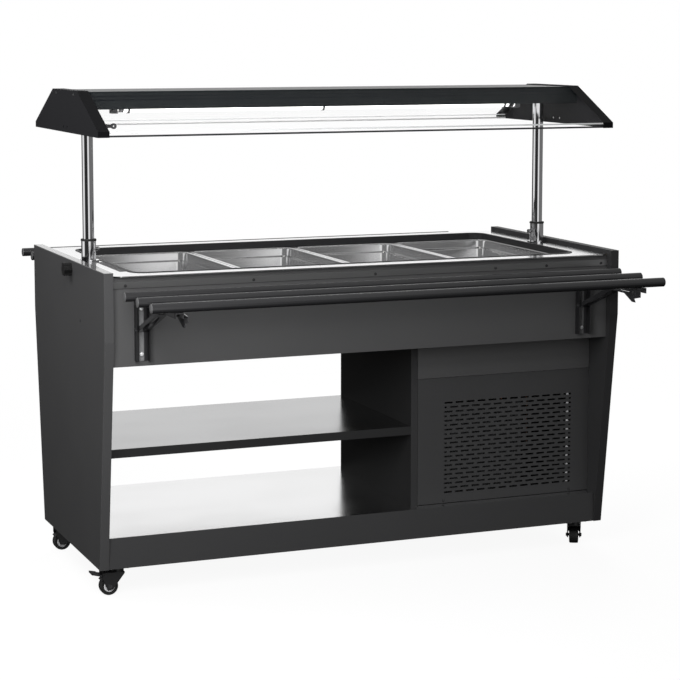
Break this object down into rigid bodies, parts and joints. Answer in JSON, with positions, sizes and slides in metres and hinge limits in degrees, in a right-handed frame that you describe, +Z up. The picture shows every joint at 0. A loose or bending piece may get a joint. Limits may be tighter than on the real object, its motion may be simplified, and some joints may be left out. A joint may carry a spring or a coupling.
{
  "type": "refrigerated buffet counter",
  "caption": "Mobile chilled buffet counter with lift-out food pans in an insulated well, folding tray rails, open storage, a slotted machine bay and a lit glass canopy.",
  "frame": {"origin": "on the floor under the middle of the counter", "axes": "+X along the counter towards the machine bay, -Y to the front, +Z up"},
  "size_m": [1.564, 1.436, 1.352],
  "materials": {
    "panel_black": "black laminate board, fine matt texture",
    "casing_grey": "dark grey powder coat, satin",
    "steel_satin": "satin stainless steel",
    "pan_steel": "drawn stainless steel, semi-bright",
    "chrome": "polished tube",
    "canopy_grey": "anodised extrusion, grooved",
    "canopy_plate": "dark grey satin sheet",
    "clear_pane": "clear tempered pane",
    "lamp_white": "lit opal tube",
    "black_plastic": "moulded black",
    "foam": "rigid foam behind a dark skin",
    "rail_black": "black satin coat",
    "bracket_steel": "dark coated steel",
    "zinc": "bright zinc plate",
    "wheel_black": "black tread with a grey hub",
    "compressor_black": "black enamel",
    "condenser_grey": "finned aluminium",
    "copper": "bare copper",
    "grey_plastic": "moulded grey"
  },
  "bodies": {
    "cabinet": {"left_end_panel": "panel_black", "right_end_panel": "panel_black", "machine_bay_wall": "casing_grey", "front_apron": "casing_grey", "rear_apron": "casing_grey", "trim_strips": "casing_grey", "counter_top": "steel_satin", "breaker_strip": "black_plastic", "tank_liner": "steel_satin", "tank_insulation": "foam", "pan_bars": "steel_satin", "base_deck": "casing_grey", "storage_shelf": "casing_grey", "machine_front_panel": "casing_grey", "machine_grille": "casing_grey", "machine_rear_panel": "casing_grey", "control_panel": "black_plastic", "compressor": "compressor_black", "condenser": "condenser_grey", "refrigerant_pipes": "copper", "drain_pipe": "grey_plastic", "post_sockets": "chrome", "bracket_plates": "bracket_steel", "caster_plates": "zinc"},
    "canopy": {"canopy_posts": "chrome", "canopy_end_plates": "canopy_plate", "canopy_profile": "canopy_grey", "lamp_tube": "lamp_white", "lamp_holders": "grey_plastic", "guard_panes": "clear_pane", "guard_fittings": "chrome"},
    "pan_1_body": {"pan_1": "pan_steel"},
    "pan_2_body": {"pan_2": "pan_steel"},
    "pan_3_body": {"pan_3": "pan_steel"},
    "pan_4_body": {"pan_4": "pan_steel"},
    "front_slide": {"front_tray_slide": "rail_black"},
    "front_struts": {"front_slide_struts": "bracket_steel"},
    "front_left_lever_body": {"front_left_lever": "zinc"},
    "front_right_lever_body": {"front_right_lever": "zinc"},
    "rear_slide": {"rear_tray_slide": "rail_black"},
    "rear_struts": {"rear_slide_struts": "bracket_steel"},
    "rear_left_lever_body": {"rear_left_lever": "zinc"},
    "rear_right_lever_body": {"rear_right_lever": "zinc"},
    "left_knob": {"left_clamp_knob": "black_plastic"},
    "left_thumb": {"left_thumb_screw": "chrome"},
    "right_knob": {"right_clamp_knob": "black_plastic"},
    "right_thumb": {"right_thumb_screw": "chrome"},
    "fan": {"fan_blades": "black_plastic"},
    "power_switch_rocker": {"power_switch": "black_plastic"},
    "lamp_switch_rocker": {"lamp_switch": "black_plastic"},
    "front_left_swivel": {"front_left_fork": "zinc"},
    "front_left_roller": {"front_left_wheel": "wheel_black"},
    "front_left_brake": {"front_left_pedal": "black_plastic"},
    "front_right_swivel": {"front_right_fork": "zinc"},
    "front_right_roller": {"front_right_wheel": "wheel_black"},
    "front_right_brake": {"front_right_pedal": "black_plastic"},
    "rear_left_swivel": {"rear_left_fork": "zinc"},
    "rear_left_roller": {"rear_left_wheel": "wheel_black"},
    "rear_right_swivel": {"rear_right_fork": "zinc"},
    "rear_right_roller": {"rear_right_wheel": "wheel_black"}
  },
  "joints": [
    {"name": "canopy_height", "type": "slide", "parent": "cabinet", "child": "canopy", "axis": [0, 0, 1], "range_m": [-0.14, 0.04]},
    {"name": "pan_1_lift", "type": "slide", "parent": "cabinet", "child": "pan_1_body", "axis": [0, 0, 1], "range_m": [0, 0.25]},
    {"name": "pan_2_lift", "type": "slide", "parent": "cabinet", "child": "pan_2_body", "axis": [0, 0, 1], "range_m": [0, 0.25]},
    {"name": "pan_3_lift", "type": "slide", "parent": "cabinet", "child": "pan_3_body", "axis": [0, 0, 1], "range_m": [0, 0.25]},
    {"name": "pan_4_lift", "type": "slide", "parent": "cabinet", "child": "pan_4_body", "axis": [0, 0, 1], "range_m": [0, 0.25]},
    {"name": "front_fold", "type": "hinge", "parent": "cabinet", "child": "front_slide", "pos_m": [0, -0.376, 0.8093], "axis": [1, 0, 0], "range_deg": [0, 90]},
    {"name": "front_strut_fold", "type": "hinge", "parent": "cabinet", "child": "front_struts", "pos_m": [0, -0.376, 0.7333], "axis": [1, 0, 0], "range_deg": [0, 111.89]},
    {"name": "front_left_release", "type": "hinge", "parent": "front_slide", "child": "front_left_lever_body", "pos_m": [-0.654, -0.681, 0.8063], "axis": [-1, 0, 0], "range_deg": [0, 8], "stiffness_Nm_per_rad": 0.6, "springref_deg": -5.73},
    {"name": "front_right_release", "type": "hinge", "parent": "front_slide", "child": "front_right_lever_body", "pos_m": [0.654, -0.681, 0.8063], "axis": [-1, 0, 0], "range_deg": [0, 8], "stiffness_Nm_per_rad": 0.6, "springref_deg": -5.73},
    {"name": "rear_fold", "type": "hinge", "parent": "cabinet", "child": "rear_slide", "pos_m": [0, 0.376, 0.8093], "axis": [-1, 0, 0], "range_deg": [0, 90]},
    {"name": "rear_strut_fold", "type": "hinge", "parent": "cabinet", "child": "rear_struts", "pos_m": [0, 0.376, 0.7333], "axis": [-1, 0, 0], "range_deg": [0, 111.89]},
    {"name": "rear_left_release", "type": "hinge", "parent": "rear_slide", "child": "rear_left_lever_body", "pos_m": [-0.654, 0.681, 0.8063], "axis": [1, 0, 0], "range_deg": [0, 8], "stiffness_Nm_per_rad": 0.6, "springref_deg": -5.73},
    {"name": "rear_right_release", "type": "hinge", "parent": "rear_slide", "child": "rear_right_lever_body", "pos_m": [0.654, 0.681, 0.8063], "axis": [1, 0, 0], "range_deg": [0, 8], "stiffness_Nm_per_rad": 0.6, "springref_deg": -5.73},
    {"name": "left_knob_turn", "type": "hinge", "parent": "cabinet", "child": "left_knob", "pos_m": [-0.77, -0.045, 0.863], "axis": [-1, 0, 0], "continuous": true},
    {"name": "left_thumb_turn", "type": "hinge", "parent": "cabinet", "child": "left_thumb", "pos_m": [-0.67, 0, 0.911], "axis": [-1, 0, 0], "continuous": true},
    {"name": "right_knob_turn", "type": "hinge", "parent": "cabinet", "child": "right_knob", "pos_m": [0.77, -0.045, 0.863], "axis": [1, 0, 0], "continuous": true},
    {"name": "right_thumb_turn", "type": "hinge", "parent": "cabinet", "child": "right_thumb", "pos_m": [0.67, 0, 0.911], "axis": [1, 0, 0], "continuous": true},
    {"name": "fan_spin", "type": "hinge", "parent": "cabinet", "child": "fan", "pos_m": [0.39, -0.16, 0.315], "axis": [0, 1, 0], "continuous": true},
    {"name": "power_switch_rock", "type": "hinge", "parent": "cabinet", "child": "power_switch_rocker", "pos_m": [0.48, 0.267, 0.6], "axis": [-1, 0, 0], "range_deg": [0, 16]},
    {"name": "lamp_switch_rock", "type": "hinge", "parent": "cabinet", "child": "lamp_switch_rocker", "pos_m": [0.53, 0.267, 0.6], "axis": [-1, 0, 0], "range_deg": [0, 16]},
    {"name": "front_left_turn", "type": "hinge", "parent": "cabinet", "child": "front_left_swivel", "pos_m": [-0.698, -0.257, 0.07], "axis": [0, 0, 1], "continuous": true},
    {"name": "front_left_roll", "type": "hinge", "parent": "front_left_swivel", "child": "front_left_roller", "pos_m": [-0.723, -0.257, 0.025], "axis": [0, 1, 0], "continuous": true},
    {"name": "front_left_brake_press", "type": "hinge", "parent": "front_left_swivel", "child": "front_left_brake", "pos_m": [-0.736, -0.257, 0.057], "axis": [0, -1, 0], "range_deg": [0, 12]},
    {"name": "front_right_turn", "type": "hinge", "parent": "cabinet", "child": "front_right_swivel", "pos_m": [0.698, -0.257, 0.07], "axis": [0, 0, 1], "continuous": true},
    {"name": "front_right_roll", "type": "hinge", "parent": "front_right_swivel", "child": "front_right_roller", "pos_m": [0.70935, -0.23472, 0.025], "axis": [0.891, -0.454, 0], "continuous": true},
    {"name": "front_right_brake_press", "type": "hinge", "parent": "front_right_swivel", "child": "front_right_brake", "pos_m": [0.71525, -0.22314, 0.057], "axis": [-0.891, 0.454, 0], "range_deg": [0, 12]},
    {"name": "rear_left_turn", "type": "hinge", "parent": "cabinet", "child": "rear_left_swivel", "pos_m": [-0.698, 0.257, 0.07], "axis": [0, 0, 1], "continuous": true},
    {"name": "rear_left_roll", "type": "hinge", "parent": "rear_left_swivel", "child": "rear_left_roller", "pos_m": [-0.723, 0.257, 0.025], "axis": [0, 1, 0], "continuous": true},
    {"name": "rear_right_turn", "type": "hinge", "parent": "cabinet", "child": "rear_right_swivel", "pos_m": [0.698, 0.257, 0.07], "axis": [0, 0, 1], "continuous": true},
    {"name": "rear_right_roll", "type": "hinge", "parent": "rear_right_swivel", "child": "rear_right_roller", "pos_m": [0.72149, 0.26555, 0.025], "axis": [0.342, -0.9397, 0], "continuous": true}
  ],
  "couplings": [
    {"joint": "front_strut_fold", "follows": "front_fold", "ratio": 1.2377},
    {"joint": "rear_strut_fold", "follows": "rear_fold", "ratio": 1.2377}
  ]
}
